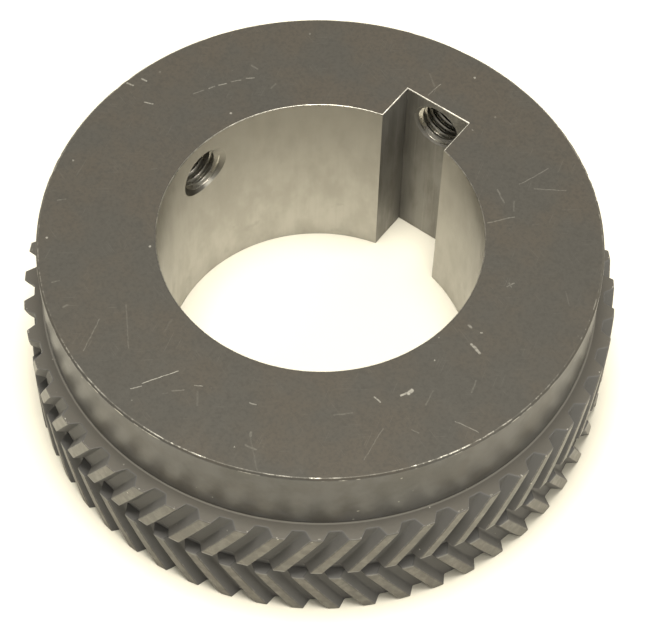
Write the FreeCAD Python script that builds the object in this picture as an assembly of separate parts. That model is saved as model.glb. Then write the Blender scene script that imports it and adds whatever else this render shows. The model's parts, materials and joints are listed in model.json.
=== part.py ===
"""Double-helical gear with staggered tooth rows, built up from a hub and two toothed rings.

The hub is a turned piece: a plain boss on top and a sleeve below it. Two toothed rings of opposite
hand are shrunk onto the sleeve, under the boss. Four dowel pins lock the rings to the boss and keep
their teeth half a pitch out of step. Two set screws hold the gear on its keyed shaft.

Millimetres. The origin is on the axis at the centre of the toothed end's face, +Z points from the
toothed end to the plain boss, and +Y points through the middle of the keyway.
"""

import FreeCAD
import Part

import math
import os

INCH = 25.4

# Hub
BORE_RADIUS = 3.1875 * INCH / 2
BOSS_RADIUS = 5.5 * INCH / 2
BOSS_LENGTH = 20.4
SLEEVE_RADIUS = 54.0
BORE_EDGE_BREAK = 0.35
BOSS_TOP_CHAMFER = 0.5
BOSS_BASE_CHAMFER = 0.3
SEAT_EDGE_BREAK = 0.3

# Keyway, for a square key
KEY_WIDTH = 0.75 * INCH
KEYWAY_FLOOR = 50.5
KEYWAY_AZIMUTH = 90.0

# Toothed rings
TEETH = 52
TIP_RADIUS = 74.8
ROOT_RADIUS = 72.2
ROW_LENGTH = 16.6
RELIEF_LENGTH = 1.2
RELIEF_RADIUS = 71.8
HELIX_ANGLE = 28.6
LAND_WIDTH = 2.75
FLANK_WIDTH = 1.55
TOOTH_END_CHAMFER = 0.25
# Where the row of teeth stands: from the middle of the keyway to the point midway between a tooth of
# the upper ring and one of the lower ring, measured where the rings meet.
ROW_PHASE = -0.82

# Dowel pins
DOWEL_RADIUS = 0.375 * INCH / 2
DOWEL_LENGTH = 1.875 * INCH
DOWEL_CIRCLE = 63.0
DOWEL_SINK = 0.4
DOWEL_END_CHAMFER = 0.6
DOWEL_AZIMUTHS = (45.0, 135.0, 225.0, 315.0)

# Set screws, 1/2-13, and their tapped holes
THREAD_RADIUS = 0.5 * INCH / 2
THREAD_PITCH = INCH / 13
THREAD_CLEARANCE = 0.05
KEYWAY_HOLE_BELOW_TOP = 8.8
BORE_HOLE_BELOW_TOP = 11.2
TAPPED_HOLE_CHAMFER = 0.8
TAPPED_HOLE_MOUTH = 0.5
TURNS_TO_SEAT = 5
BORE_SCREW_AZIMUTH = KEYWAY_AZIMUTH + 84.5
BORE_SCREW_LENGTH = 0.75 * INCH
KEYWAY_SCREW_LENGTH = 0.375 * INCH
SCREW_END_CHAMFER = 0.9
CUP_POINT_RADIUS = 0.25 * INCH / 2
CUP_POINT_DEPTH = 1.3
CUP_FLOOR_RADIUS = 0.8
CUP_RIM_WIDTH = 0.2
HEX_ACROSS_FLATS = 0.25 * INCH
HEX_DEPTH = 4.6

RINGS_HEIGHT = 2 * (ROW_LENGTH + RELIEF_LENGTH)
HEIGHT = RINGS_HEIGHT + BOSS_LENGTH
KEYWAY_HOLE_Z = HEIGHT - KEYWAY_HOLE_BELOW_TOP
BORE_HOLE_Z = HEIGHT - BORE_HOLE_BELOW_TOP
KEY_TOP = math.sqrt(BORE_RADIUS**2 - (KEY_WIDTH / 2) ** 2) + KEY_WIDTH / 2
TOOTH_PITCH = 360.0 / TEETH
MID_RADIUS = (TIP_RADIUS + ROOT_RADIUS) / 2
LEAD = 2 * math.pi * MID_RADIUS / math.tan(math.radians(HELIX_ANGLE))

Y = FreeCAD.Vector(0, 1, 0)
Z = FreeCAD.Vector(0, 0, 1)
ORIGIN = FreeCAD.Vector(0, 0, 0)


def polar(radius, azimuth, z=0.0):
    angle = math.radians(azimuth)
    return FreeCAD.Vector(radius * math.cos(angle), radius * math.sin(angle), z)


def turned(outline):
    """A solid of revolution about Z, from its (radius, z) outline."""
    points = [FreeCAD.Vector(radius, 0, z) for radius, z in outline]
    face = Part.Face(Part.makePolygon(points + points[:1]))
    return face.revolve(ORIGIN, Z, 360)


def radial(shape, azimuth, z):
    """Lay a shape made along +Z out along the radius at an azimuth, at height z."""
    shape.rotate(ORIGIN, Y, 90)
    shape.rotate(ORIGIN, Z, azimuth)
    shape.translate(FreeCAD.Vector(0, 0, z))
    return shape


def tapped_hole(azimuth, z, opening):
    """The cutter for one tapped hole, at the thread's outer radius, with a chamfer at each end.

    The opening is how far from the axis the hole's inner end lies.
    """
    radius = THREAD_RADIUS + THREAD_CLEARANCE
    drill = Part.makeCylinder(radius, BOSS_RADIUS + 1)
    curve_drop = BOSS_RADIUS - math.sqrt(BOSS_RADIUS**2 - radius**2)
    start = BOSS_RADIUS - curve_drop - TAPPED_HOLE_CHAMFER
    chamfer = Part.makeCone(radius, radius + BOSS_RADIUS + 1 - start, BOSS_RADIUS + 1 - start)
    chamfer.translate(Z * start)
    mouth = Part.makeCone(radius + TAPPED_HOLE_MOUTH + 1, radius, TAPPED_HOLE_MOUTH + 1)
    mouth.translate(Z * (opening - 1))
    return radial(drill.fuse([chamfer, mouth]), azimuth, z)


def dowel_hole(azimuth):
    """The cutter for one reamed dowel hole, from the toothed end up into the boss."""
    return Part.makeCylinder(DOWEL_RADIUS, DOWEL_SINK + DOWEL_LENGTH, polar(DOWEL_CIRCLE, azimuth))


def make_hub():
    hub = turned([
        (BORE_RADIUS, BORE_EDGE_BREAK),
        (BORE_RADIUS, HEIGHT - BORE_EDGE_BREAK),
        (BORE_RADIUS + BORE_EDGE_BREAK, HEIGHT),
        (BOSS_RADIUS - BOSS_TOP_CHAMFER, HEIGHT),
        (BOSS_RADIUS, HEIGHT - BOSS_TOP_CHAMFER),
        (BOSS_RADIUS, RINGS_HEIGHT + BOSS_BASE_CHAMFER),
        (BOSS_RADIUS - BOSS_BASE_CHAMFER, RINGS_HEIGHT),
        (SLEEVE_RADIUS, RINGS_HEIGHT),
        (SLEEVE_RADIUS, SEAT_EDGE_BREAK),
        (SLEEVE_RADIUS - SEAT_EDGE_BREAK, 0),
        (BORE_RADIUS + BORE_EDGE_BREAK, 0),
    ])
    keyway = Part.makeBox(KEYWAY_FLOOR, KEY_WIDTH, HEIGHT, FreeCAD.Vector(0, -KEY_WIDTH / 2, 0))
    keyway.rotate(ORIGIN, Z, KEYWAY_AZIMUTH)
    cutters = [
        keyway,
        tapped_hole(KEYWAY_AZIMUTH, KEYWAY_HOLE_Z, KEYWAY_FLOOR),
        tapped_hole(BORE_SCREW_AZIMUTH, BORE_HOLE_Z, BORE_RADIUS),
    ]
    cutters += [dowel_hole(azimuth) for azimuth in DOWEL_AZIMUTHS]
    return hub.cut(cutters)


def tooth_outline(first_tooth):
    """The closed cross-section of a toothed row, with the middle of a tooth at the given azimuth."""
    half_land = math.degrees(LAND_WIDTH / 2 / TIP_RADIUS)
    half_base = half_land + math.degrees(FLANK_WIDTH / ROOT_RADIUS)
    edges = []
    for tooth in range(TEETH):
        middle = first_tooth + tooth * TOOTH_PITCH
        gap = middle + TOOTH_PITCH / 2
        following = middle + TOOTH_PITCH
        land_start = polar(TIP_RADIUS, middle - half_land)
        land_end = polar(TIP_RADIUS, middle + half_land)
        root_start = polar(ROOT_RADIUS, middle + half_base)
        root_end = polar(ROOT_RADIUS, following - half_base)
        edges.append(Part.Arc(land_start, polar(TIP_RADIUS, middle), land_end).toShape())
        edges.append(Part.LineSegment(land_end, root_start).toShape())
        edges.append(Part.Arc(root_start, polar(ROOT_RADIUS, gap), root_end).toShape())
        edges.append(Part.LineSegment(root_end, polar(TIP_RADIUS, following - half_land)).toShape())
    return Part.Wire(edges)


def toothed_row(first_tooth, left_handed):
    """One row of helical teeth as a solid disc, from z = 0 up to the row's length."""
    helix = Part.makeHelix(LEAD, ROW_LENGTH, MID_RADIUS, 0, left_handed)
    sweep = Part.BRepOffsetAPI.MakePipeShell(helix)
    sweep.setFrenetMode(True)
    sweep.add(tooth_outline(first_tooth), False, False)
    sweep.build()
    sweep.makeSolid()
    ends = turned([
        (0, 0),
        (TIP_RADIUS - TOOTH_END_CHAMFER, 0),
        (TIP_RADIUS + 1, TOOTH_END_CHAMFER + 1),
        (TIP_RADIUS + 1, ROW_LENGTH - TOOTH_END_CHAMFER - 1),
        (TIP_RADIUS - TOOTH_END_CHAMFER, ROW_LENGTH),
        (0, ROW_LENGTH),
    ])
    return sweep.shape().common(ends)


def make_ring(bottom, relief_on_top, left_handed):
    """A toothed ring: its row of teeth, and a plain relief on the side where the rings meet."""
    twist = 360.0 * (ROW_LENGTH + RELIEF_LENGTH) / LEAD
    stagger = TOOTH_PITCH / 4
    if relief_on_top:
        first_tooth = KEYWAY_AZIMUTH + ROW_PHASE - stagger + twist
        row_start = 0.0
        relief_start = ROW_LENGTH
    else:
        first_tooth = KEYWAY_AZIMUTH + ROW_PHASE + stagger + 360.0 * RELIEF_LENGTH / LEAD
        row_start = RELIEF_LENGTH
        relief_start = 0.0
    row = toothed_row(first_tooth, left_handed)
    row.translate(Z * row_start)
    relief = Part.makeCylinder(RELIEF_RADIUS, RELIEF_LENGTH, Z * relief_start)
    ring = row.fuse(relief)
    ring.translate(Z * bottom)
    cutters = [Part.makeCylinder(SLEEVE_RADIUS, RINGS_HEIGHT)]
    cutters += [dowel_hole(azimuth) for azimuth in DOWEL_AZIMUTHS]
    if relief_on_top:
        edge = SLEEVE_RADIUS + SEAT_EDGE_BREAK
        cutters.append(Part.makeCone(edge, SLEEVE_RADIUS, SEAT_EDGE_BREAK))
    return ring.cut(cutters)


def make_dowel(azimuth):
    pin = turned([
        (0, DOWEL_SINK),
        (DOWEL_RADIUS - DOWEL_END_CHAMFER, DOWEL_SINK),
        (DOWEL_RADIUS, DOWEL_SINK + DOWEL_END_CHAMFER),
        (DOWEL_RADIUS, DOWEL_SINK + DOWEL_LENGTH - DOWEL_END_CHAMFER),
        (DOWEL_RADIUS - DOWEL_END_CHAMFER, DOWEL_SINK + DOWEL_LENGTH),
        (0, DOWEL_SINK + DOWEL_LENGTH),
    ])
    pin.translate(polar(DOWEL_CIRCLE, azimuth))
    return pin


def make_set_screw(azimuth, z, tip, length):
    """A cup-point set screw with a hex socket in its outer end, its tip at the given radius."""
    top = tip + length
    rim = CUP_POINT_RADIUS + CUP_RIM_WIDTH
    screw = turned([
        (0, tip + CUP_POINT_DEPTH),
        (CUP_FLOOR_RADIUS, tip + CUP_POINT_DEPTH),
        (CUP_POINT_RADIUS, tip),
        (rim, tip),
        (THREAD_RADIUS, tip + THREAD_RADIUS - rim),
        (THREAD_RADIUS, top - SCREW_END_CHAMFER),
        (THREAD_RADIUS - SCREW_END_CHAMFER, top),
        (0, top),
    ])
    corner_radius = HEX_ACROSS_FLATS / math.sqrt(3)
    corners = [polar(corner_radius, 60 * side, top - HEX_DEPTH) for side in range(7)]
    socket = Part.Face(Part.makePolygon(corners)).extrude(Z * (HEX_DEPTH + 1))
    return radial(screw.cut(socket), azimuth, z)


travel_to_seat = TURNS_TO_SEAT * THREAD_PITCH
keyway_tip = KEY_TOP + travel_to_seat
bore_tip = BORE_RADIUS + travel_to_seat
nodes = {
    "hub": make_hub(),
    "lower_toothed_ring": make_ring(0.0, True, True),
    "upper_toothed_ring": make_ring(RINGS_HEIGHT / 2, False, False),
    "keyway_set_screw": make_set_screw(KEYWAY_AZIMUTH, KEYWAY_HOLE_Z, keyway_tip, KEYWAY_SCREW_LENGTH),
    "bore_set_screw": make_set_screw(BORE_SCREW_AZIMUTH, BORE_HOLE_Z, bore_tip, BORE_SCREW_LENGTH),
}
for number, azimuth in enumerate(DOWEL_AZIMUTHS, start=1):
    nodes[f"dowel_pin_{number}"] = make_dowel(azimuth)

os.makedirs("parts", exist_ok=True)
for name, shape in nodes.items():
    shape.exportStep(f"parts/{name}.step")
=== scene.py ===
"""The looks of the double-helical gear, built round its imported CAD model.

The hub, both toothed rings, the set screws and the dowel pins are rebuilt here as finer meshes,
with rounded edges, real screw threads and worn steel, in the places that the CAD nodes give.
Shapes are worked out in millimetres and turned into metres when a piece is made.
"""

import json
import math
import random

import bmesh
import bpy
from mathutils import Matrix, Vector


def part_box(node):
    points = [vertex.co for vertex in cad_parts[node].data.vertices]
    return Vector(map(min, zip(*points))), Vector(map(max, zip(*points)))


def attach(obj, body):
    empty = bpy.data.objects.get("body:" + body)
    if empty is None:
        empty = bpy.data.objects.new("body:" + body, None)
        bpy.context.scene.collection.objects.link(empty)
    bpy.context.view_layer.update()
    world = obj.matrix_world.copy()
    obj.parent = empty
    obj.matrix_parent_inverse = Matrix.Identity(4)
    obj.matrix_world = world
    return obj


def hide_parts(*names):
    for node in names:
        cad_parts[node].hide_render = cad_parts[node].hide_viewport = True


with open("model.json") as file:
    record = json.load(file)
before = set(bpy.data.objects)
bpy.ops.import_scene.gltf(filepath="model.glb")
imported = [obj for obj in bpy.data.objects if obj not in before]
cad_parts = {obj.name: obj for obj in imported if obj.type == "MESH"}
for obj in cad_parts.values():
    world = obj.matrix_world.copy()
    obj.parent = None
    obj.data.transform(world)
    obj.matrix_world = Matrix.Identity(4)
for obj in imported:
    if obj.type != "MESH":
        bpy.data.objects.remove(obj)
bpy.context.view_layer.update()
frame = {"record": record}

MM = 0.001
SLIVER = 0.002        # millimetres: corners nearer than this are one corner

# Sizes that the frame gives, in millimetres
mounts = {mount["name"]: mount for mount in frame["record"]["mounts"]}
BORE_RADIUS = mounts["bore"]["dims"]["r_mm"]
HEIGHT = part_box("hub")[1].z / MM
BOSS_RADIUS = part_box("hub")[1].x / MM
TIP_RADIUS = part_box("lower_toothed_ring")[1].x / MM
RING_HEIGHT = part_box("lower_toothed_ring")[1].z / MM
RINGS_HEIGHT = 2 * RING_HEIGHT
DOWEL_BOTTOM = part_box("dowel_pin_1")[0].z / MM
DOWEL_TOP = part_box("dowel_pin_1")[1].z / MM

# Sizes of the CAD model that the frame doesn't state, in millimetres and degrees
SLEEVE_RADIUS = 54.0
KEY_WIDTH = 19.05
KEYWAY_FLOOR = 50.5
KEYWAY_AZIMUTH = 90.0
TEETH = 52
ROOT_RADIUS = 72.2
RELIEF_RADIUS = 71.8
ROW_LENGTH = 16.6
RELIEF_LENGTH = RING_HEIGHT - ROW_LENGTH
HELIX_ANGLE = 28.6
LAND_WIDTH = 2.75
FLANK_WIDTH = 1.55
ROW_PHASE = -0.82
DOWEL_RADIUS = 4.7625
DOWEL_CIRCLE = 63.0
DOWEL_AZIMUTHS = (45.0, 135.0, 225.0, 315.0)
KEYWAY_HOLE_Z = HEIGHT - 8.8
BORE_HOLE_Z = HEIGHT - 11.2
THREAD_RADIUS = 6.35
THREAD_PITCH = 25.4 / 13
SEAT_TRAVEL = 5 * THREAD_PITCH
KEY_TOP = math.sqrt(BORE_RADIUS**2 - (KEY_WIDTH / 2) ** 2) + KEY_WIDTH / 2
BORE_SCREW_AZIMUTH = KEYWAY_AZIMUTH + 84.5
BORE_SCREW_TIP = BORE_RADIUS + SEAT_TRAVEL
BORE_SCREW_LENGTH = 19.05
KEYWAY_SCREW_TIP = KEY_TOP + SEAT_TRAVEL
KEYWAY_SCREW_LENGTH = 9.525
CUP_POINT_RADIUS = 3.175
CUP_POINT_DEPTH = 1.3
CUP_FLOOR_RADIUS = 0.8
HEX_ACROSS_FLATS = 6.35
HEX_DEPTH = 4.6


# ---------------------------------------------------------------- mesh helpers

def polar(radius, azimuth, z=0.0):
    angle = math.radians(azimuth)
    return (radius * math.cos(angle), radius * math.sin(angle), z)


def rounded(points, radius, steps=3, guard=0.0):
    """An open 2-D outline with each inner corner turned into an arc of the given radius.

    A guard puts one more point on each side of an arc, that far along the straight runs, so that
    smooth shading stays on the arc.
    """
    result = [points[0]]
    for before, corner, after in zip(points, points[1:], points[2:]):
        here = Vector(corner)
        back = (Vector(before) - here).normalized()
        ahead = (Vector(after) - here).normalized()
        half = back.angle(ahead) / 2
        centre = here + (back + ahead).normalized() * (radius / math.sin(half))
        reach = radius / math.tan(half)
        first = here + back * reach - centre
        last = here + ahead * reach - centre
        if guard:
            result.append(tuple(here + back * (reach + guard)))
        for step in range(steps + 1):
            spoke = first.lerp(last, step / steps).normalized() * radius
            result.append(tuple(centre + spoke))
        if guard:
            result.append(tuple(here + ahead * (reach + guard)))
    result.append(points[-1])
    return result


def loft(name, loops):
    """A closed skin through equal closed loops: each joins the next, and the last the first."""
    count = len(loops[0])
    vertices = [point for loop in loops for point in loop]
    faces = []
    for row in range(len(loops)):
        here = row * count
        above = (row + 1) % len(loops) * count
        for k in range(count):
            after = (k + 1) % count
            faces.append((here + k, here + after, above + after, above + k))
    mesh = bpy.data.meshes.new(name)
    mesh.from_pydata(vertices, [], faces)
    return outward(mesh)


def outward(mesh):
    """The mesh with its faces all turned outwards."""
    work = bmesh.new()
    work.from_mesh(mesh)
    bmesh.ops.recalc_face_normals(work, faces=work.faces)
    work.to_mesh(mesh)
    work.free()
    return mesh


def turned(name, outline, count):
    """A solid of revolution about Z from an (r, z) outline that starts and ends on the axis."""
    vertices = [(0, 0, outline[0][1])]
    for radius, z in outline[1:-1]:
        vertices += [polar(radius, 360 * k / count, z) for k in range(count)]
    vertices.append((0, 0, outline[-1][1]))
    top = len(vertices) - 1
    rows = len(outline) - 2
    faces = []
    for k in range(count):
        after = (k + 1) % count
        faces.append((0, 1 + after, 1 + k))
        last_row = 1 + (rows - 1) * count
        faces.append((top, last_row + k, last_row + after))
        for row in range(rows - 1):
            here = 1 + row * count
            above = here + count
            faces.append((here + k, here + after, above + after, above + k))
    mesh = bpy.data.meshes.new(name)
    mesh.from_pydata(vertices, [], faces)
    return outward(mesh)


def make_object(name, mesh):
    piece = bpy.data.objects.new(name, mesh)
    bpy.context.scene.collection.objects.link(piece)
    return piece


def without_slivers(mesh):
    """The mesh as triangles, without the slivers and doubled faces that exact booleans leave."""
    work = bmesh.new()
    work.from_mesh(mesh)
    bmesh.ops.remove_doubles(work, verts=work.verts, dist=SLIVER)
    bmesh.ops.dissolve_degenerate(work, edges=work.edges, dist=SLIVER)
    bmesh.ops.triangulate(work, faces=work.faces)
    by_corners = {}
    for face in work.faces:
        by_corners.setdefault(frozenset(face.verts), []).append(face)
    doubled = [face for faces in by_corners.values() if len(faces) > 1 for face in faces]
    bmesh.ops.delete(work, geom=doubled, context="FACES")
    work.to_mesh(mesh)
    work.free()
    return mesh


def cut(piece, cutters, operation="DIFFERENCE"):
    """Apply exact booleans to a piece and throw its cutters away."""
    for number, mesh in enumerate(cutters):
        tool = make_object("tool", mesh)
        boolean = piece.modifiers.new(f"cut_{number}", "BOOLEAN")
        boolean.operation = operation
        boolean.solver = "EXACT"
        boolean.object = tool
    settled = bpy.context.evaluated_depsgraph_get()
    done = bpy.data.meshes.new_from_object(piece.evaluated_get(settled))
    tools = [modifier.object for modifier in piece.modifiers]
    piece.modifiers.clear()
    piece.data = without_slivers(done)
    for tool in tools:
        bpy.data.objects.remove(tool)
    return piece


def to_metres(piece, smooth_below=32.0):
    """Turn a finished piece from millimetres to metres, with smooth shading below an edge angle."""
    piece.data.transform(Matrix.Scale(MM, 4))
    piece.data.shade_smooth()
    piece.data.set_sharp_from_angle(angle=math.radians(smooth_below))
    return piece


def radial(mesh, azimuth, z):
    """Lay a mesh made along +Z out along the radius at an azimuth, at height z."""
    mesh.transform(Matrix.Rotation(math.radians(90), 4, "Y"))
    mesh.transform(Matrix.Rotation(math.radians(azimuth), 4, "Z"))
    mesh.transform(Matrix.Translation((0, 0, z)))
    return mesh


# ---------------------------------------------------------------- screw threads

THREAD_STEPS = 56
THREAD_START = 28.66
THREAD_TURNS = 25
THREAD_EASE = 0.14


def thread_rod(name, crest, root, crest_flat):
    """A right-hand threaded rod along +Z, long enough for any hole or screw here.

    The rod's turns lie at the same places whatever its radii are, so that a screw made from one rod
    sits in the threads that another rod cuts.
    """
    flank = (crest - root) * math.tan(math.radians(30))
    middle = THREAD_PITCH / 2
    half_crest = crest_flat / 2
    section = rounded([
        (0.0, root),
        (middle - half_crest - flank, root),
        (middle - half_crest, crest),
        (middle + half_crest, crest),
        (middle + half_crest + flank, root),
        (THREAD_PITCH, root),
    ], THREAD_EASE)[:-1]
    levels = len(section)
    columns = THREAD_STEPS
    top = THREAD_TURNS * levels

    def point(column, level):
        turn, place = divmod(level, levels)
        along, radius = section[place]
        rise = (turn + column / columns) * THREAD_PITCH + along
        return polar(radius, 360 * column / columns, THREAD_START + rise)

    index = {}
    vertices = []
    for column in range(columns):
        last = top + levels if column == 0 else top
        for level in range(last + 1):
            index[column, level] = len(vertices)
            vertices.append(point(column, level))

    def at(column, level):
        return index[(0, level + levels) if column == columns else (column, level)]

    faces = []
    for column in range(columns):
        for level in range(top):
            faces.append((at(column, level), at(column + 1, level),
                          at(column + 1, level + 1), at(column, level + 1)))
    for start in (0, top):
        rim = [at(column, start) for column in range(columns + 1)]
        rim += [at(0, start + level) for level in range(levels - 1, 0, -1)]
        centre = len(vertices)
        vertices.append((0, 0, vertices[rim[0]][2] + THREAD_PITCH / 2))
        faces += [(centre, a, b) for a, b in zip(rim, rim[1:] + rim[:1])]
    mesh = bpy.data.meshes.new(name)
    mesh.from_pydata(vertices, [], faces)
    return outward(mesh)


def hole_thread():
    return thread_rod("hole_thread", THREAD_RADIUS + 0.05, THREAD_RADIUS - 0.97, 0.25)


def screw_thread():
    return thread_rod("screw_thread", THREAD_RADIUS - 0.02, THREAD_RADIUS - 1.1, 0.24)


# ---------------------------------------------------------------- hub

BORE_POINTS = 640
FLOOR_POINTS = 24
BORE_BREAK = 0.2
BOSS_CHAMFER = 0.5
GUARD = 0.35
DENTS = 70
DEEPEST_DENT = 0.11
PIN_FIT = 0.01
KEYWAY_CORNER = 0.12
HOLE_MOUTH = 0.5
# Azimuth, height and inner end of each tapped hole, and the finish of its mouth in hub_region
TAPPED_HOLES = (
    (KEYWAY_AZIMUTH, KEYWAY_HOLE_Z, KEYWAY_FLOOR, 3),
    (BORE_SCREW_AZIMUTH, BORE_HOLE_Z, BORE_RADIUS, 1),
)


def bore_contour(grow, z):
    """The outline of bore and keyway at height z, grown outwards all round."""
    half_width = KEY_WIDTH / 2 + grow
    radius = BORE_RADIUS + grow
    floor = KEYWAY_FLOOR + grow
    mouth = math.degrees(math.asin(half_width / radius))
    arc = [polar(radius, 90 + mouth + (360 - 2 * mouth) * k / BORE_POINTS)[:2]
           for k in range(BORE_POINTS + 1)]
    slot = [(half_width, floor)]
    slot += [(half_width * (1 - 2 * k / FLOOR_POINTS), floor) for k in range(1, FLOOR_POINTS)]
    slot += [(-half_width, floor)]
    walls = rounded([arc[-1], slot[0], slot[1]], KEYWAY_CORNER)[1:-1]
    walls += slot[1:-1]
    walls += rounded([slot[-2], slot[-1], arc[0]], KEYWAY_CORNER)[1:-1]
    return [(x, y, z) for x, y in arc + walls]


def azimuths_for(contour):
    """One azimuth for each point of a bore contour, so that a circle can be skinned to it."""
    mouth = math.degrees(math.asin(KEY_WIDTH / 2 / BORE_RADIUS))
    spare = len(contour) - BORE_POINTS
    around = [90 + mouth + (360 - 2 * mouth) * k / BORE_POINTS for k in range(BORE_POINTS + 1)]
    return around + [90 - mouth + 2 * mouth * k / spare for k in range(1, spare)]


def dent_depths(azimuths, chance):
    """How far small knocks have pushed an edge in, at each azimuth."""
    knocks = [(chance.uniform(0, 360), chance.uniform(0.3, 1.6), chance.uniform(0.2, 1.0) ** 2)
              for _ in range(DENTS)]
    depths = []
    for azimuth in azimuths:
        deepest = 0.0
        for middle, half_width, share in knocks:
            away = abs((azimuth - middle + 180) % 360 - 180)
            if away < half_width:
                swell = 0.5 + 0.5 * math.cos(math.pi * away / half_width)
                deepest = max(deepest, DEEPEST_DENT * share * swell)
        depths.append(deepest)
    return depths


def quarter(steps=4):
    """Shares of a rounded edge, from the wall to the face: how far in, and how far short."""
    for step in range(steps + 1):
        turn = math.radians(90 * step / steps)
        yield 1 - math.cos(turn), 1 - math.sin(turn)


SINK_START = 65.3         # the outer countersinks' cone, from the gear's axis
SINK_LENGTH = 5.2


def dowel_holes(chamfer):
    """The cutters for the four reamed holes, with a chamfer at the toothed end."""
    radius = DOWEL_RADIUS + PIN_FIT
    top = DOWEL_TOP + PIN_FIT
    tools = []
    outline = [(0, -1), (radius + chamfer + 1, -1), (radius, chamfer), (radius, top), (0, top)]
    for azimuth in DOWEL_AZIMUTHS:
        hole = turned("hole", outline, 96)
        hole.transform(Matrix.Translation(polar(DOWEL_CIRCLE, azimuth)))
        tools.append(hole)
    return tools


def make_hub():
    edge = [(BORE_BREAK * inward, BORE_BREAK * short) for inward, short in quarter()]
    guard = BORE_BREAK + GUARD
    loops = [bore_contour(guard, 0)]
    loops += [bore_contour(grow, short) for grow, short in reversed(edge)]
    loops += [bore_contour(0, guard), bore_contour(0, HEIGHT - guard)]
    loops += [bore_contour(grow, HEIGHT - short) for grow, short in edge]
    loops += [bore_contour(guard, HEIGHT)]
    azimuths = azimuths_for(loops[0])
    chance = random.Random(7)
    top_dents = dent_depths(azimuths, chance)
    low_dents = dent_depths(azimuths, chance)
    rim = rounded([
        (BOSS_RADIUS - 8, HEIGHT),
        (BOSS_RADIUS - BOSS_CHAMFER, HEIGHT),
        (BOSS_RADIUS, HEIGHT - BOSS_CHAMFER),
        (BOSS_RADIUS, HEIGHT - 8),
    ], 0.15, guard=0.05)
    middle = BOSS_RADIUS - BOSS_CHAMFER / 2
    loops.append([polar(BOSS_RADIUS - 2, azimuth, HEIGHT) for azimuth in azimuths])
    for radius, z in rim[1:-1]:
        dents = zip(azimuths, top_dents if radius < middle else low_dents)
        loops.append([polar(radius - dent, azimuth, z - dent) for azimuth, dent in dents])
    base = rounded([
        (BOSS_RADIUS, HEIGHT - 2),
        (BOSS_RADIUS, RINGS_HEIGHT + 0.3),
        (BOSS_RADIUS - 0.3, RINGS_HEIGHT),
        (SLEEVE_RADIUS, RINGS_HEIGHT),
    ], 0.1, guard=0.05)
    base += [(SLEEVE_RADIUS, 0.3), (SLEEVE_RADIUS - 0.3, 0)]
    loops += [[polar(radius, azimuth, z) for azimuth in azimuths] for radius, z in base]
    hub = make_object("hub_body", loft("hub_body", loops))
    tools = dowel_holes(0)
    for azimuth, z, opening, _ in TAPPED_HOLES:
        sink = turned("sink", [
            (0, SINK_START),
            (THREAD_RADIUS - 3, SINK_START),
            (THREAD_RADIUS - 3 + SINK_LENGTH, SINK_START + SINK_LENGTH),
            (0, SINK_START + SINK_LENGTH),
        ], 96)
        mouth = turned("mouth", [
            (0, opening - 1),
            (THREAD_RADIUS + HOLE_MOUTH + 1, opening - 1),
            (THREAD_RADIUS - 1.5, opening + HOLE_MOUTH + 1.5),
            (0, opening + HOLE_MOUTH + 1.5),
        ], 96)
        tools += [radial(mesh, azimuth, z) for mesh in (hole_thread(), sink, mouth)]
    return to_metres(cut(hub, tools))


# ---------------------------------------------------------------- toothed rings

MID_RADIUS = (TIP_RADIUS + ROOT_RADIUS) / 2
TOOTH_PITCH = 360 / TEETH
TWIST_PER_MM = math.degrees(math.tan(math.radians(HELIX_ANGLE)) / MID_RADIUS)
TOOTH_EDGE = 0.22
END_GUARD = 0.06
ROW_LEVELS = 14


def tooth_section():
    """One pitch of the toothed rim, from root to root, as (distance round, radius)."""
    half_pitch = math.pi * MID_RADIUS / TEETH
    half_land = LAND_WIDTH / 2
    half_base = half_land + FLANK_WIDTH
    rise = [
        (-half_pitch, ROOT_RADIUS),
        (-half_base, ROOT_RADIUS),
        (-half_land, TIP_RADIUS),
        (0, TIP_RADIUS),
    ]
    root = rounded(rise[:3], 0.55, 4)[:-1]
    tip = rounded(rise[1:], 0.3, 4, guard=0.12)[1:]
    side = root + tip
    other = [(-across, radius) for across, radius in reversed(side[1:-1])]
    return side + other


def rim_loop(section, azimuth, z, inset=0.0):
    """The toothed rim at height z, drawn in all round by inset."""
    period = 2 * math.pi * MID_RADIUS / TEETH
    count = len(section)
    shifted = []
    for k, (across, radius) in enumerate(section):
        before = section[k - 1]
        after = section[(k + 1) % count]
        step_x = (after[0] - before[0]) % period
        step_r = after[1] - before[1]
        length = math.hypot(step_x, step_r)
        shifted.append((across + inset * step_r / length, radius - inset * step_x / length))
    points = []
    for tooth in range(TEETH):
        middle = azimuth + tooth * TOOTH_PITCH
        for across, radius in shifted:
            points.append(polar(radius, middle + math.degrees(across / MID_RADIUS), z))
    return points


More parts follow.
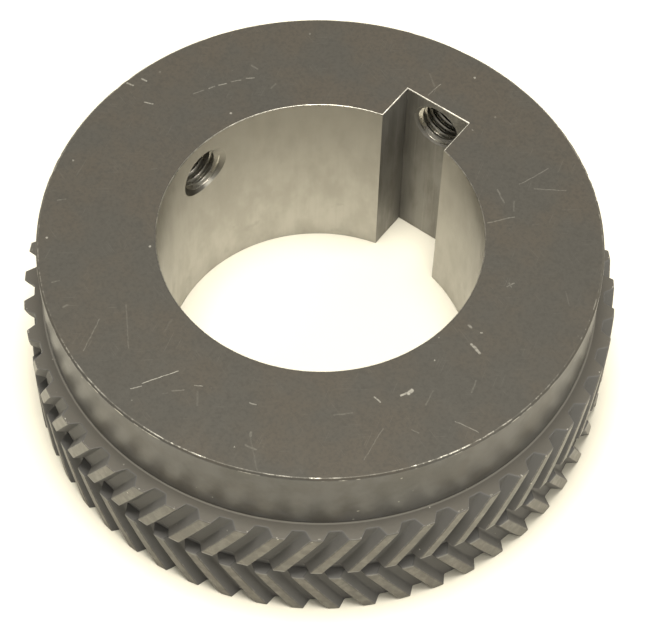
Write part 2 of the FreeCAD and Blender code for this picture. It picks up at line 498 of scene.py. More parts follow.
def make_ring(name, bottom, relief_on_top, hand):
    """A toothed ring. hand is +1 where its teeth turn with the azimuth as they rise, else -1."""
    section = tooth_section()
    quarter_pitch = TOOTH_PITCH / 4
    phase = KEYWAY_AZIMUTH + ROW_PHASE + hand * quarter_pitch
    row_bottom = bottom if relief_on_top else bottom + RELIEF_LENGTH
    row_top = row_bottom + ROW_LENGTH
    top = bottom + RING_HEIGHT

    def rim(z, inset=0.0):
        return rim_loop(section, phase + hand * TWIST_PER_MM * (z - RING_HEIGHT), z, inset)

    def circle(radius, z):
        like = rim(z)
        return [tuple(Vector((x, y)).normalized() * radius) + (z,) for x, y, _ in like]

    edge = [(TOOTH_EDGE * short, TOOTH_EDGE * inward) for inward, short in quarter(3)]
    levels = [row_bottom + ROW_LENGTH * level / ROW_LEVELS for level in range(1, ROW_LEVELS)]
    levels = [row_bottom + TOOTH_EDGE + GUARD] + levels + [row_top - TOOTH_EDGE - GUARD]
    loops = [rim(row_bottom, TOOTH_EDGE + END_GUARD)]
    loops += [rim(row_bottom + rise, inset) for rise, inset in reversed(edge)]
    loops += [rim(z) for z in levels]
    loops += [rim(row_top - fall, inset) for fall, inset in edge]
    loops += [rim(row_top, TOOTH_EDGE + END_GUARD)]
    if relief_on_top:
        loops += [circle(RELIEF_RADIUS, row_top), circle(RELIEF_RADIUS, top)]
        loops += [circle(SLEEVE_RADIUS, top), circle(SLEEVE_RADIUS, bottom + 0.3)]
        loops += [circle(SLEEVE_RADIUS + 0.3, bottom), circle(RELIEF_RADIUS, bottom)]
    else:
        loops += [circle(RELIEF_RADIUS, row_top)]
        loops += [circle(SLEEVE_RADIUS, row_top), circle(SLEEVE_RADIUS, bottom)]
        loops += [circle(RELIEF_RADIUS, bottom), circle(RELIEF_RADIUS, row_bottom)]
    ring = make_object(name, loft(name, loops))
    return to_metres(cut(ring, dowel_holes(0.3 if relief_on_top else 0)))


# ---------------------------------------------------------------- set screws and dowel pins

def make_set_screw(name, azimuth, z, tip, length):
    """A threaded set screw, its cup point at radius tip and its hex socket facing outwards."""
    end = tip + length
    crest = THREAD_RADIUS + 0.2
    point = crest - CUP_POINT_RADIUS - 0.2
    outline = [(0, tip + CUP_POINT_DEPTH)]
    outline += rounded([
        (CUP_FLOOR_RADIUS, tip + CUP_POINT_DEPTH),
        (CUP_POINT_RADIUS, tip),
        (CUP_POINT_RADIUS + 0.2, tip),
        (crest, tip + point),
        (crest, end - 1.3),
        (crest - 1.3, end),
        (0, end),
    ], 0.06)
    screw = make_object(name, screw_thread())
    cut(screw, [turned("envelope", outline, 96)], "INTERSECT")
    corner = HEX_ACROSS_FLATS / math.sqrt(3)
    floor = end - HEX_DEPTH
    flat = HEX_ACROSS_FLATS / 2
    socket = turned("socket", [(0, floor), (corner, floor), (corner, end + 1), (0, end + 1)], 6)
    mouth = turned("mouth", [
        (0, end - 0.7),
        (flat - 0.1, end - 0.7),
        (flat + 1.6, end + 1),
        (0, end + 1),
    ], 96)
    drill = turned("drill", [(0, floor - 1.1), (flat - 0.2, floor + 0.4), (0, floor + 0.4)], 48)
    cut(screw, [socket, mouth, drill])
    radial(screw.data, azimuth, z)
    return to_metres(screw)


def make_dowel(number, azimuth):
    outline = rounded([
        (0, DOWEL_BOTTOM),
        (DOWEL_RADIUS - 0.6, DOWEL_BOTTOM),
        (DOWEL_RADIUS, DOWEL_BOTTOM + 0.6),
        (DOWEL_RADIUS, DOWEL_TOP - 0.6),
        (DOWEL_RADIUS - 0.6, DOWEL_TOP),
        (0, DOWEL_TOP),
    ], 0.25, guard=0.1)
    mesh = turned(f"ground_pin_{number}", outline, 96)
    mesh.transform(Matrix.Translation(polar(DOWEL_CIRCLE, azimuth)))
    return to_metres(make_object(f"ground_pin_{number}", mesh))


# ---------------------------------------------------------------- finishes

class Finish:
    """The node tree of a new finish on metal, with short calls for what the finishes share.

    Patterns follow the object, in millimetres, so they stay in place on pieces that move.
    """

    def __init__(self, name, metallic=1.0):
        self.material = bpy.data.materials.new(name)
        self.material.use_nodes = True
        self.tree = self.material.node_tree
        self.shader = self.tree.nodes["Principled BSDF"]
        self.shader.inputs["Metallic"].default_value = metallic
        place = self.tree.nodes.new("ShaderNodeTexCoord").outputs["Object"]
        self.place = self.vectors("SCALE", place, 1 / MM)
        self.x, self.y, self.z = self.split(self.place)
        self.radius = self.vectors("LENGTH", self.vectors("MULTIPLY", self.place, (1, 1, 0)))

    def node(self, kind, *values, **settings):
        """The first output of a new node, its inputs fed in order with sockets or plain values."""
        node = self.tree.nodes.new(kind)
        for setting, value in settings.items():
            setattr(node, setting, value)
        sockets = [socket for socket in node.inputs if socket.enabled]
        for socket, value in zip(sockets, values):
            if isinstance(value, bpy.types.NodeSocket):
                self.tree.links.new(value, socket)
            else:
                socket.default_value = value
        return next(output for output in node.outputs if output.enabled)

    def maths(self, operation, *values):
        return self.node("ShaderNodeMath", *values, operation=operation)

    def vectors(self, operation, *values):
        if operation == "SCALE":
            node = self.node("ShaderNodeVectorMath", values[0], operation=operation).node
            node.inputs["Scale"].default_value = values[1]
            return node.outputs[0]
        return self.node("ShaderNodeVectorMath", *values, operation=operation)

    def split(self, vector):
        return self.node("ShaderNodeSeparateXYZ", vector).node.outputs

    def fade(self, value, low, high):
        """0 at low and 1 at high, smoothly; low may be the larger."""
        return self.node("ShaderNodeMapRange", value, low, high, interpolation_type="SMOOTHSTEP")

    def spread(self, value, low, high):
        """A pattern between 0 and 1, stretched to run from low to high."""
        return self.node("ShaderNodeMapRange", value, 0.0, 1.0, low, high)

    def blend(self, share, first, second):
        return self.node("ShaderNodeMix", share, first, second, data_type="RGBA")

    def either(self, *masks):
        total = masks[0]
        for mask in masks[1:]:
            total = self.maths("MAXIMUM", total, mask)
        return total

    def both(self, first, second):
        return self.maths("MULTIPLY", first, second)

    def noise(self, size, detail=2.0, rough=0.5, stretch=(1, 1, 1), turn=0.0, shift=0.0):
        """Noise with features of about the given size, drawn out where stretch is over 1."""
        squeeze = tuple(1 / (size * share) for share in stretch)
        swing = math.radians(turn)
        place = self.node("ShaderNodeVectorRotate", self.place, (0, 0, 0), (0, 0, 1), swing)
        place = self.vectors("MULTIPLY_ADD", place, squeeze, (shift, shift, shift))
        return self.node("ShaderNodeTexNoise", place, 1.0, detail, rough)

    def specks(self, spacing, radius, shift=0.0):
        """Small irregular spots, about one in each cell of the given spacing."""
        wobble = self.node("ShaderNodeTexNoise", self.place, 1.3 / radius, 1.0).node.outputs["Color"]
        place = self.vectors("MULTIPLY_ADD", wobble, (radius, radius, radius), self.place)
        place = self.vectors("MULTIPLY_ADD", place, (1 / spacing,) * 3, (shift, shift, shift))
        distance = self.node("ShaderNodeTexVoronoi", place, 1.0)
        return self.fade(distance, radius / spacing, 0.5 * radius / spacing)

    def hairlines(self, turn, shift):
        """Sparse fine scratches that all run one way across a flat face."""
        lines = self.noise(0.16, 1.0, 0.5, (60, 1, 1), turn, shift)
        patches = self.noise(7.0, 2.0, 0.5, (1, 1, 1), 0.0, shift + 3.0)
        return self.both(self.fade(lines, 0.66, 0.74), self.fade(patches, 0.5, 0.62))

    def near_ring(self, radius, z, close, far):
        """1 within close of a circle about the axis, fading to 0 at far."""
        across = self.maths("SUBTRACT", self.radius, radius)
        along = self.maths("SUBTRACT", self.z, z)
        away = self.vectors("LENGTH", self.node("ShaderNodeCombineXYZ", across, along, 0.0))
        return self.fade(away, far, close)

    def bump(self, height, depth, under=None):
        """The normal of a surface with a relief of the given depth in millimetres."""
        node = self.tree.nodes.new("ShaderNodeBump")
        node.inputs["Distance"].default_value = depth * MM
        self.tree.links.new(height, node.inputs["Height"])
        if under is not None:
            self.tree.links.new(under, node.inputs["Normal"])
        return node.outputs["Normal"]

    def finish(self, colour, roughness, normal, metallic=None):
        values = {"Base Color": colour, "Roughness": roughness, "Normal": normal}
        if metallic is not None:
            values["Metallic"] = metallic
        for socket, value in values.items():
            self.tree.links.new(value, self.shader.inputs[socket])
        return self.material


# Linear colours of the metals and of the oxide on them, and some that paint light, shade,
# reflections and glints
OXIDE_WARM = (0.067, 0.059, 0.049, 1)
OXIDE_COOL = (0.060, 0.057, 0.051, 1)
OXIDE_DARK = (0.043, 0.041, 0.037, 1)
# Grey of the cut flanks and roots, also painted on the hub's side as reflections of the teeth
GAP_GREY_AND_SIDE_REFLECTION = (0.115, 0.1145, 0.116, 1)
END_FACE_OXIDE = (0.082, 0.076, 0.067, 1)
# Painted light: a lighter grey near the groove between the rows, lifting the shade there
GROOVE_PAINTED_LIGHT = (0.140, 0.138, 0.136, 1)
OXIDE_SHEEN_TINT = (1.0, 0.98, 0.91, 1)
STEEL_LIGHT = (0.47, 0.456, 0.420, 1)
STEEL_DULL = (0.39, 0.376, 0.342, 1)
# Stain colour of bare steel, also used for painted shade towards the top of the bore
STEEL_STAIN_AND_SHADE = (0.22, 0.210, 0.188, 1)
STEEL_BROACHED = (0.30, 0.290, 0.265, 1)
# Black oxide of the screws, also used for painted shade in the keyway
BLACK_ALLOY_AND_SHADE = (0.045, 0.044, 0.043, 1)
BARE_EDGE = (0.62, 0.60, 0.54, 1)
# Near-white painted glint along the keyway's top edge
PAINTED_EDGE_GLINT = (0.92, 0.89, 0.81, 1)

# Marks on the boss's face: azimuth and radius of the middle, heading, length, width and strength
FACE_MARKS = (
    (-95, 56.7, 59, 9.0, 0.30, 1.00),
    (-97, 62.5, 54, 2.5, 0.35, 0.50),
    (-86, 53.0, 30, 2.0, 0.30, 0.50),
    (-67, 65.0, 137, 11.0, 0.50, 0.05),
    (-69, 60.0, 130, 1.0, 0.90, 0.16),
    (-30, 50.5, 66, 3.0, 0.65, 0.80),
    (-29, 50.5, 80, 1.2, 1.20, 0.90),
    (-6, 50.0, 162, 3.0, 0.90, 0.55),
    (-1, 45.0, 165, 0.8, 0.90, 0.30),
    (18, 48.5, 60, 2.0, 0.50, 0.22),
    (18, 48.5, 150, 1.2, 0.50, 0.18),
    (-38, 50.0, 172, 1.9, 0.50, 0.45),
    (-42, 61.5, 98, 9.5, 0.35, 0.10),
    (-22, 65.0, 7, 6.0, 0.35, 0.25),
    (-71, 52.0, 16, 1.7, 0.40, 0.35),
    (162, 54.5, 62, 3.0, 0.45, 0.18),
    (158, 54.0, 60, 1.5, 0.50, 0.32),
    (155, 53.5, 56, 2.0, 0.50, 0.38),
    (151, 53.0, 52, 2.5, 0.45, 0.26),
    (147, 52.5, 40, 2.0, 0.50, 0.32),
    (173, 68.0, 14, 1.7, 0.70, 0.55),
    (170, 66.5, 0, 1.4, 0.70, 0.55),
    (174, 60.0, 22, 2.2, 0.50, 0.55),
    (94, 54.5, 84, 5.0, 0.30, 0.35),
    (55, 56.5, 70, 9.0, 0.35, 0.16),
    (50, 59.0, 33, 8.0, 0.35, 0.16),
    (42, 44.8, 53, 7.0, 0.40, 0.20),
    (-114, 62.5, 107, 9.5, 0.45, 0.11),
    (-112, 54.0, 132, 12.5, 0.45, 0.07),
)
FAINT_MARKS = 22
MARK_SHARE = 0.8          # of the strengths listed, so that the marks stay soft


def faint_marks():
    """Short light marks, scattered over the boss's face."""
    chance = random.Random(17)
    marks = []
    for _ in range(FAINT_MARKS):
        radius = chance.uniform(BORE_RADIUS + 4.0, BOSS_RADIUS - 3.0)
        length = chance.uniform(0.8, 4.5)
        width = chance.uniform(0.40, 0.80)
        strength = chance.uniform(0.02, 0.12)
        azimuth = 360 * chance.random()
        heading = 180 * chance.random()
        marks.append((azimuth, radius, heading, length, width, strength))
    return tuple(marks)


def scratch_group():
    """A node group that gives a straight mark's strength on a flat face, and 0 away from it."""
    group = bpy.data.node_groups.new("scratch", "ShaderNodeTree")
    for name in ("Place", "Start", "End"):
        group.interface.new_socket(name, in_out="INPUT", socket_type="NodeSocketVector")
    for name in ("Width", "Strength"):
        group.interface.new_socket(name, in_out="INPUT", socket_type="NodeSocketFloat")
    group.interface.new_socket("Mark", in_out="OUTPUT", socket_type="NodeSocketFloat")
    given = group.nodes.new("NodeGroupInput").outputs
    result = group.nodes.new("NodeGroupOutput")

    def node(kind, operation, *sockets):
        made = group.nodes.new(kind)
        made.operation = operation
        for socket, source in zip([s for s in made.inputs if s.enabled], sockets):
            group.links.new(source, socket)
        return made

    def first(made):
        return next(output for output in made.outputs if output.enabled)

    along = first(node("ShaderNodeVectorMath", "SUBTRACT", given["End"], given["Start"]))
    offset = first(node("ShaderNodeVectorMath", "SUBTRACT", given["Place"], given["Start"]))
    reach = first(node("ShaderNodeVectorMath", "DOT_PRODUCT", offset, along))
    square = first(node("ShaderNodeVectorMath", "DOT_PRODUCT", along, along))
    share = node("ShaderNodeMath", "DIVIDE", reach, square)
    share.use_clamp = True
    step = group.nodes.new("ShaderNodeVectorMath")
    step.operation = "SCALE"
    group.links.new(along, step.inputs[0])
    group.links.new(first(share), step.inputs["Scale"])
    away = first(node("ShaderNodeVectorMath", "DISTANCE", offset, step.outputs[0]))
    relative = first(node("ShaderNodeMath", "DIVIDE", away, given["Width"]))
    fall = group.nodes.new("ShaderNodeMapRange")
    fall.interpolation_type = "SMOOTHSTEP"
    fall.inputs["From Min"].default_value = 0.5
    fall.inputs["From Max"].default_value = 0.15
    group.links.new(relative, fall.inputs["Value"])
    mark = node("ShaderNodeMath", "MULTIPLY", fall.outputs[0], given["Strength"])
    group.links.new(first(mark), result.inputs["Mark"])
    return group


def face_marks(look):
    """The scratches and knocks on the boss's face, as one mask."""
    group = scratch_group()
    wander = look.node("ShaderNodeTexNoise", look.place, 0.35, 2.0).node.outputs["Color"]
    flat_place = look.vectors("MULTIPLY_ADD", wander, (0.7, 0.7, 0), look.place)
    flat_place = look.vectors("SUBTRACT", flat_place, (0.35, 0.35, HEIGHT))
    masks = []
    for azimuth, radius, heading, length, width, strength in FACE_MARKS + faint_marks():
        middle = Vector(polar(radius, azimuth))
        half = Vector(polar(length / 2, heading))
        mark = look.tree.nodes.new("ShaderNodeGroup")
        mark.node_tree = group
        look.tree.links.new(flat_place, mark.inputs["Place"])
        mark.inputs["Start"].default_value = middle - half
        mark.inputs["End"].default_value = middle + half
        mark.inputs["Width"].default_value = width
        mark.inputs["Strength"].default_value = MARK_SHARE * strength
        masks.append(mark.outputs["Mark"])
    broken = look.spread(look.fade(look.noise(0.7, 2.0), 0.35, 0.6), 0.45, 1.0)
    return look.both(look.either(*masks), broken)


def oxide_base(look, ior, low_roughness, high_roughness):
    """Colour, roughness and grain of unworn dark oxide on machined steel."""
    look.shader.inputs["IOR"].default_value = ior
    look.shader.inputs["Specular Tint"].default_value = OXIDE_SHEEN_TINT
    clouds = look.fade(look.noise(16.0, 3.0, 0.55), 0.35, 0.65)
    colour = look.blend(clouds, OXIDE_WARM, OXIDE_COOL)
    patches = look.fade(look.noise(3.5, 4.0, 0.6, (1, 1, 1), 0.0, 9.0), 0.52, 0.75)
    colour = look.blend(look.both(patches, 0.35), colour, OXIDE_DARK)
    streaky = look.noise(5.0, 4.0, 0.6, (1, 1, 1), 0.0, 4.0)
    grain = look.noise(0.35, 3.0, 0.6)
    fine = look.fade(look.noise(0.9, 3.0, 0.7, (1, 1, 1), 0.0, 14.0), 0.42, 0.68)
    colour = look.blend(look.both(fine, 0.50), colour, OXIDE_DARK)
    return colour, look.spread(streaky, low_roughness, high_roughness), grain


def worn(look, colour, roughness, grain, wear):
    """Finish a surface whose wear, from 0 to 1, lays the steel bare."""
    colour = look.blend(wear, colour, BARE_EDGE)
    roughness = look.maths("MULTIPLY_ADD", wear, -0.08, roughness)
    return look.finish(colour, roughness, look.bump(grain, 0.004), wear)


def hub_outside():
    look = Finish("dark_oxide_hub", metallic=0.0)
    colour, roughness, grain = oxide_base(look, 1.39, 0.32, 0.42)
    on_face = look.fade(look.z, HEIGHT - 0.06, HEIGHT - 0.03)
    on_side = look.fade(look.z, HEIGHT - 0.3, HEIGHT - 0.6)
    # Painted reflection: light grey blotches on the hub's side stand in for the teeth reflected in
    # it
    side_reflection_blotches = look.fade(look.noise(9.0, 3.0, 0.6, (1, 1, 1), 0.0, 31.0), 0.35, 0.65)
    colour = look.blend(look.both(on_side, look.spread(side_reflection_blotches, 0.25, 0.65)), colour, GAP_GREY_AND_SIDE_REFLECTION)
    marks = look.both(face_marks(look), on_face)
    hairs = look.either(look.hairlines(20, 1.0), look.hairlines(75, 5.0), look.hairlines(140, 11.0))
    hairs = look.both(look.both(hairs, on_face), 0.05)
    rim = look.near_ring(BOSS_RADIUS - BOSS_CHAMFER, HEIGHT, 0.06, 0.26)
    shoulder = look.near_ring(BOSS_RADIUS, HEIGHT - BOSS_CHAMFER, 0.04, 0.18)
    broken = look.fade(look.noise(2.2, 4.0, 0.7, (1, 1, 1), 0.0, 2.0), 0.44, 0.60)
    lengths = look.fade(look.noise(14.0, 2.0, 0.6, (1, 1, 1), 0.0, 21.0), 0.42, 0.56)
    broken = look.both(broken, look.spread(lengths, 0.15, 1.0))
    sparse = look.fade(look.noise(6.0, 3.0, 0.6, (1, 1, 1), 0.0, 6.0), 0.54, 0.66)
    # Edge wear, heaviest on the side towards azimuth -60: partly wear, partly painted glints along
    # that front edge
    facing = look.vectors("DOT_PRODUCT", look.place, polar(1.0, -60))
    front_wear_and_glint = look.spread(look.fade(facing, 30.0, 60.0), 0.25, 1.0)
    edges = look.either(look.both(rim, look.spread(broken, 0.06, 0.9)), look.both(shoulder, sparse))
    edges = look.both(edges, front_wear_and_glint)
    some = look.fade(look.noise(18.0, 1.0, 0.5, (1, 1, 1), 0.0, 8.0), 0.5, 0.6)
    specks = look.both(look.both(look.specks(5.0, 0.40), some), 0.5)
    return worn(look, colour, roughness, grain, look.either(marks, hairs, edges, specks))


def turned_ring(name, ior):
    """The lands and the end faces of a toothed ring."""
    look = Finish(name, metallic=0.0)
    colour, roughness, grain = oxide_base(look, ior, 0.34, 0.46)
    end_face = look.fade(look.radius, TIP_RADIUS - 0.12, TIP_RADIUS - 0.2)
    colour = look.blend(look.both(end_face, 0.7), colour, END_FACE_OXIDE)
    # Painted light: the faces within 2 mm of the groove between the rows are made lighter, to lift
    # the shade in it
    from_groove = look.maths("ABSOLUTE", look.maths("SUBTRACT", look.z, RING_HEIGHT))
    colour = look.blend(look.fade(from_groove, 2.0, 1.5), colour, GROOVE_PAINTED_LIGHT)
    # A faint light line of bare steel along the foot of the hub
    at_hub = look.near_ring(BOSS_RADIUS + 0.20, RINGS_HEIGHT, 0.12, 0.36)
    land = look.fade(look.radius, TIP_RADIUS - 0.12, TIP_RADIUS - 0.02)
    rubbed = look.fade(look.noise(2.5, 3.0, 0.6, (1, 1, 1), 0.0, 3.0), 0.4, 0.7)
    rubbed = look.both(land, look.spread(rubbed, 0.04, 0.14))
    ends = look.near_ring(TIP_RADIUS, RINGS_HEIGHT, 0.1, 0.9)
    chips = look.fade(look.noise(1.1, 2.0, 0.6, (1, 1, 1), 0.0, 12.0), 0.62, 0.68)
    chipped = look.both(ends, chips)
    nicks = look.specks(3.2, 0.30, 2.0)
    some = look.fade(look.noise(9.0, 1.0, 0.5, (1, 1, 1), 0.0, 7.0), 0.50, 0.62)
    nicks = look.both(look.both(nicks, some), 0.7)
    wear = look.either(rubbed, chipped, nicks, look.both(at_hub, 0.20))
    return worn(look, colour, roughness, grain, wear)


def cut_gaps():
    """The flanks and roots of the teeth: matt and darker, with a little wear at the tips."""
    look = Finish("dark_oxide_gaps", metallic=0.0)
    colour, roughness, grain = oxide_base(look, 1.27, 0.50, 0.62)
    colour = look.blend(0.75, colour, GAP_GREY_AND_SIDE_REFLECTION)
    tip = look.fade(look.radius, TIP_RADIUS - 0.40, TIP_RADIUS - 0.15)
    rubbed = look.fade(look.noise(1.6, 3.0, 0.7, (1, 1, 1), 0.0, 12.0), 0.45, 0.7)
    worn_tip = look.spread(rubbed, 0.04, 0.22)
    nicks = look.specks(3.0, 0.30, 5.0)
    some = look.fade(look.noise(9.0, 1.0, 0.5, (1, 1, 1), 0.0, 7.0), 0.54, 0.64)
    wear = look.either(look.both(tip, worn_tip), look.both(look.both(nicks, some), 0.5))
    return worn(look, colour, roughness, grain, wear)


def worn_and_glinting_top_edge(look, colour, bright, least, most):
    """Lay the steel bright, here and there, along the top edge of the bore or keyway: worn steel on
    the bore, a painted glint on the keyway.
    """
    edge = look.fade(look.z, HEIGHT - 0.35, HEIGHT - 0.20)
    broken = look.fade(look.noise(2.6, 4.0, 0.7, (1, 1, 1), 0.0, 17.0), 0.42, 0.62)
    return look.blend(look.both(edge, look.spread(broken, least, most)), colour, bright)


def bare_bore():
    look = Finish("bare_bore_steel")
    streaks = look.noise(0.9, 3.0, 0.6, (1, 1, 40))
    broad = look.noise(7.0, 3.0, 0.6, (1, 1, 2), 0.0, 3.0)
    colour = look.blend(look.fade(broad, 0.35, 0.65), STEEL_LIGHT, STEEL_DULL)
    colour = look.blend(look.both(look.fade(streaks, 0.45, 0.7), 0.2), colour, STEEL_DULL)
    stain = look.both(look.fade(look.noise(8.0, 4.0, 0.6, (1, 1, 1), 0.0, 14.0), 0.55, 0.8), 0.4)
    # Painted shade: the bore's steel darkens steadily towards the top, on top of the random stains
    painted_top_shade = look.both(look.fade(look.z, 0, HEIGHT), 0.80)
    colour = look.blend(look.either(stain, painted_top_shade), colour, STEEL_STAIN_AND_SHADE)
    colour = worn_and_glinting_top_edge(look, colour, BARE_EDGE, 0.05, 0.7)
    look.shader.inputs["Anisotropic"].default_value = 0.7
    look.shader.inputs["Anisotropic Rotation"].default_value = 0.25
    roughness = look.spread(look.noise(2.5, 4.0, 0.6, (1, 1, 3), 0.0, 5.0), 0.30, 0.44)
    fine = look.noise(0.12, 2.0, 0.6, (1, 1, 60))
    rings = look.noise(0.25, 2.0, 0.6, (40, 40, 1))
    normal = look.bump(rings, 0.0012, look.bump(fine, 0.0008))
    return look.finish(colour, roughness, normal)


def broached_keyway():
    look = Finish("broached_keyway_steel", metallic=0.5)
    streaks = look.noise(0.7, 3.0, 0.6, (1, 1, 60))
    broad = look.noise(4.0, 3.0, 0.6, (1, 1, 4), 0.0, 5.0)
    colour = look.blend(look.fade(broad, 0.35, 0.65), STEEL_BROACHED, STEEL_STAIN_AND_SHADE)
    colour = look.blend(look.both(look.fade(streaks, 0.5, 0.75), 0.4), colour, STEEL_DULL)
    section = look.vectors("ABSOLUTE", look.vectors("MULTIPLY", look.place, (1, 1, 0)))
    from_corner = look.vectors("DISTANCE", section, (KEY_WIDTH / 2, KEYWAY_FLOOR, 0))
    # Painted shade: darker towards the keyway's inner corners, with a narrow dark line over each
    # corner's rounding to hide its highlight
    corner_shade = look.both(look.fade(from_corner, 6.0, 0.2), 0.45)
    corner_shade = look.either(corner_shade, look.both(look.fade(from_corner, 0.3, 0.2), 0.7))
    # Painted shade: darker towards the top of the keyway
    painted_top_shade = look.both(look.fade(look.z, 0.2 * HEIGHT, HEIGHT), 0.35)
    colour = look.blend(look.either(corner_shade, painted_top_shade), colour, BLACK_ALLOY_AND_SHADE)
    # Painted glint: a near-white colour, broken here and there, along the keyway's top edge
    colour = worn_and_glinting_top_edge(look, colour, PAINTED_EDGE_GLINT, 0.4, 1.0)
    roughness = look.spread(look.noise(1.0, 3.0, 0.6, (1, 1, 30), 0.0, 3.0), 0.48, 0.60)
    return look.finish(colour, roughness, look.bump(look.noise(0.3, 2.0, 0.6, (1, 1, 60)), 0.002))


def thread_finish():
    look = Finish("oiled_thread_steel")
    colour = look.blend(look.fade(look.noise(1.5, 3.0), 0.4, 0.65), BARE_EDGE, STEEL_LIGHT)
    roughness = look.spread(look.noise(0.8, 3.0), 0.22, 0.36)
    return look.finish(colour, roughness, look.bump(look.noise(0.4, 2.0), 0.001))


def screw_finish():
    look = Finish("black_oxide_screw")
    rubbed = look.fade(look.noise(0.6, 4.0, 0.7), 0.58, 0.75)
    colour = look.blend(look.both(rubbed, 0.3), BLACK_ALLOY_AND_SHADE, STEEL_DULL)
    roughness = look.spread(look.noise(1.0, 3.0), 0.26, 0.42)
    return look.finish(colour, roughness, look.bump(look.noise(0.15, 2.0), 0.003))


def pin_finish():
    look = Finish("ground_pin_steel")
    colour = look.blend(look.fade(look.noise(1.4, 4.0, 0.6), 0.5, 0.75), STEEL_LIGHT, STEEL_STAIN_AND_SHADE)
    roughness = look.spread(look.noise(0.5, 3.0), 0.20, 0.38)
    return look.finish(colour, roughness, look.bump(look.noise(0.12, 2.0), 0.002))


def floor_finish():
    look = Finish("pale_floor", metallic=0.0)
    clouds = look.noise(160.0, 2.0)
    colour = look.blend(clouds, (0.83, 0.80, 0.70, 1), (0.85, 0.82, 0.72, 1))
    roughness = look.spread(look.noise(20.0, 2.0), 0.75, 0.9)
    return look.finish(colour, roughness, look.bump(look.noise(1.5, 3.0), 0.01))


def paint(piece, finishes, choose=None):
    """Give a piece its finishes, the one that choose names by number for each face's centre."""
    for finish in finishes:
        piece.data.materials.append(finish)
    if choose:
        for face in piece.data.polygons:
            face.material_index = choose(face.center / MM, face.normal)


def ring_region(centre, normal):
    """0 for the turned lands and end faces, 1 for the flanks and roots."""
    flat = abs(normal.z) > 0.98 or centre.xy.length < RELIEF_RADIUS + 0.1
    return 0 if flat or centre.xy.length > TIP_RADIUS - 0.12 else 1


CONE_FACING = math.cos(math.radians(45))
OUTER_END = 60.0          # further from the gear's axis than this, a tapped hole nears its sink


def hub_region(centre, normal):
    """0 for the oxidised outside, 1 for the bore, 2 for the tapped holes, 3 for the keyway."""
    for azimuth, z, opening, mouth in TAPPED_HOLES:
        axis = Vector(polar(1.0, azimuth))
        offset = centre - Vector((0, 0, z))
        along = offset.dot(axis)
        away = (offset - axis * along).length
        facing = abs(normal.dot(axis))
        outer = along > OUTER_END
        reach = THREAD_RADIUS + (0.08 if outer else 1.2)
        if along > opening - 3 and away < reach and facing < 0.98:
            countersunk = abs(facing - CONE_FACING) < 0.02
            if not countersunk:
                return 2
            return 0 if outer else mouth
    grow = BORE_BREAK + 0.02
    in_bore = centre.xy.length < BORE_RADIUS + grow
    in_keyway = abs(centre.x) < KEY_WIDTH / 2 + grow and 0 < centre.y < KEYWAY_FLOOR + grow
    if in_keyway and not in_bore:
        return 3
    return 1 if in_bore else 0


# ---------------------------------------------------------------- camera

camera_data = bpy.data.cameras.new("camera")
camera = make_object("camera", camera_data)
camera_data.sensor_width = 36.0
camera_data.lens = 116.28


VIEW_DISTANCE = 13.47058    # in bore radii, from the gear's middle
VIEW_RISE = 0.9701749       # radians above the horizontal
VIEW_AZIMUTH = 54.25        # degrees from the view's right to the keyway
AIM_RIGHT = 0.0043727
AIM_DOWN = 0.0080687
CAMERA_ROLL = 0.0255310     # radians
VIEWED_HEIGHT = 1.38498     # the gear's height in bore radii


def aim_camera():
    """The camera's place and turn, as fitted to the hub's and the bore's edges."""
    unit = BORE_RADIUS * MM
    spot = VIEW_DISTANCE * Vector((0, -math.cos(VIEW_RISE), math.sin(VIEW_RISE)))
    forward = (-spot).normalized()
    right = Vector((1, 0, 0))
    up = right.cross(forward)
    ahead = (forward + right * AIM_RIGHT - up * AIM_DOWN).normalized()
    side = ahead.cross(Vector((0, 0, 1))).normalized()
    top = side.cross(ahead)
    turned_side = side * math.cos(CAMERA_ROLL) + top * math.sin(CAMERA_ROLL)
    turned_top = top * math.cos(CAMERA_ROLL) - side * math.sin(CAMERA_ROLL)
    turn = Matrix((turned_side, turned_top, -ahead)).transposed().to_4x4()
    swing = Matrix.Rotation(math.radians(KEYWAY_AZIMUTH - VIEW_AZIMUTH), 4, "Z")
    middle = Matrix.Translation((0, 0, HEIGHT * MM - VIEWED_HEIGHT / 2 * unit))
    camera.matrix_world = middle @ swing @ Matrix.Translation(spot * unit) @ turn


aim_camera()
bpy.context.scene.camera = camera


# ---------------------------------------------------------------- pieces

thread_steel = thread_finish()
# Painted shade: the lower lands are the upper lands' finish with a lower IOR, so that the lower row
# comes out darker
lower_lands = turned_ring("dark_oxide_lower_lands", 1.39)
upper_lands = turned_ring("dark_oxide_upper_lands", 1.52)
gaps = cut_gaps()
screw_oxide = screw_finish()
pin_steel = pin_finish()


def place_piece(piece, body, node):
    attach(piece, body)
    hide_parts(node)


hub = make_hub()
paint(hub, [hub_outside(), bare_bore(), thread_steel, broached_keyway()], hub_region)
place_piece(hub, "gear", "hub")

lower = make_ring("lower_teeth", 0.0, True, -1)
paint(lower, [lower_lands, gaps], ring_region)
place_piece(lower, "gear", "lower_toothed_ring")

upper = make_ring("upper_teeth", RING_HEIGHT, False, 1)
paint(upper, [upper_lands, gaps], ring_region)
place_piece(upper, "gear", "upper_toothed_ring")

keyway_screw = make_set_screw(
    "threaded_keyway_screw", KEYWAY_AZIMUTH, KEYWAY_HOLE_Z, KEYWAY_SCREW_TIP, KEYWAY_SCREW_LENGTH
)
paint(keyway_screw, [screw_oxide])
place_piece(keyway_screw, "keyway_screw", "keyway_set_screw")

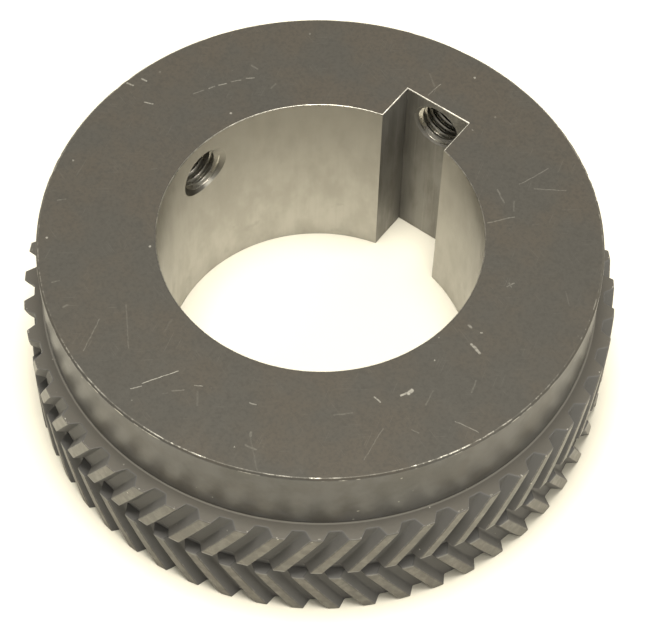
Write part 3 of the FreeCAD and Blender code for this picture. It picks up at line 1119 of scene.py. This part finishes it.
bore_screw = make_set_screw(
    "threaded_bore_screw", BORE_SCREW_AZIMUTH, BORE_HOLE_Z, BORE_SCREW_TIP, BORE_SCREW_LENGTH
)
paint(bore_screw, [screw_oxide])
place_piece(bore_screw, "bore_screw", "bore_set_screw")

for number, azimuth in enumerate(DOWEL_AZIMUTHS, start=1):
    pin = make_dowel(number, azimuth)
    paint(pin, [pin_steel])
    place_piece(pin, "gear", f"dowel_pin_{number}")


# ---------------------------------------------------------------- stage

def soft_light(name, azimuth, elevation, distance, size, power, colour):
    """A square softbox that faces the gear."""
    light = bpy.data.lights.new(name, "AREA")
    light.size = size
    light.energy = power
    light.color = colour
    lamp = make_object(name, light)
    flat = distance * math.cos(math.radians(elevation))
    spot = Vector(polar(flat, azimuth, distance * math.sin(math.radians(elevation))))
    lamp.location = spot
    lamp.rotation_euler = (-spot).to_track_quat("-Z", "Y").to_euler()


def studio_sky(low, high, colour):
    """An even pale surround, from its brightness at the horizon to that overhead."""
    world = bpy.data.worlds.new("studio")
    world.use_nodes = True
    nodes = world.node_tree.nodes
    links = world.node_tree.links
    direction = nodes.new("ShaderNodeTexCoord").outputs["Generated"]
    split = nodes.new("ShaderNodeSeparateXYZ")
    rise = nodes.new("ShaderNodeMapRange")
    rise.interpolation_type = "SMOOTHSTEP"
    rise.inputs["From Max"].default_value = 0.8
    rise.inputs["To Min"].default_value = low
    rise.inputs["To Max"].default_value = high
    links.new(direction, split.inputs[0])
    links.new(split.outputs["Z"], rise.inputs["Value"])
    links.new(rise.outputs[0], nodes["Background"].inputs["Strength"])
    nodes["Background"].inputs["Color"].default_value = colour
    return world


scene = bpy.context.scene
scene.world = studio_sky(0.45, 0.47, (1.0, 0.96, 0.86, 1))
soft_light("overhead", -65, 87, 2.0, 0.8, 56.0, (1.0, 0.96, 0.86))
soft_light("key", 0, 38, 2.5, 1.2, 14.0, (1.0, 0.96, 0.86))

floor_mesh = bpy.data.meshes.new("floor")
floor_mesh.from_pydata([(-4, -4, 0), (4, -4, 0), (4, 4, 0), (-4, 4, 0)], [], [(0, 1, 2, 3)])
floor = make_object("floor", floor_mesh)
paint(floor, [floor_finish()])
scene.view_settings.view_transform = "Standard"
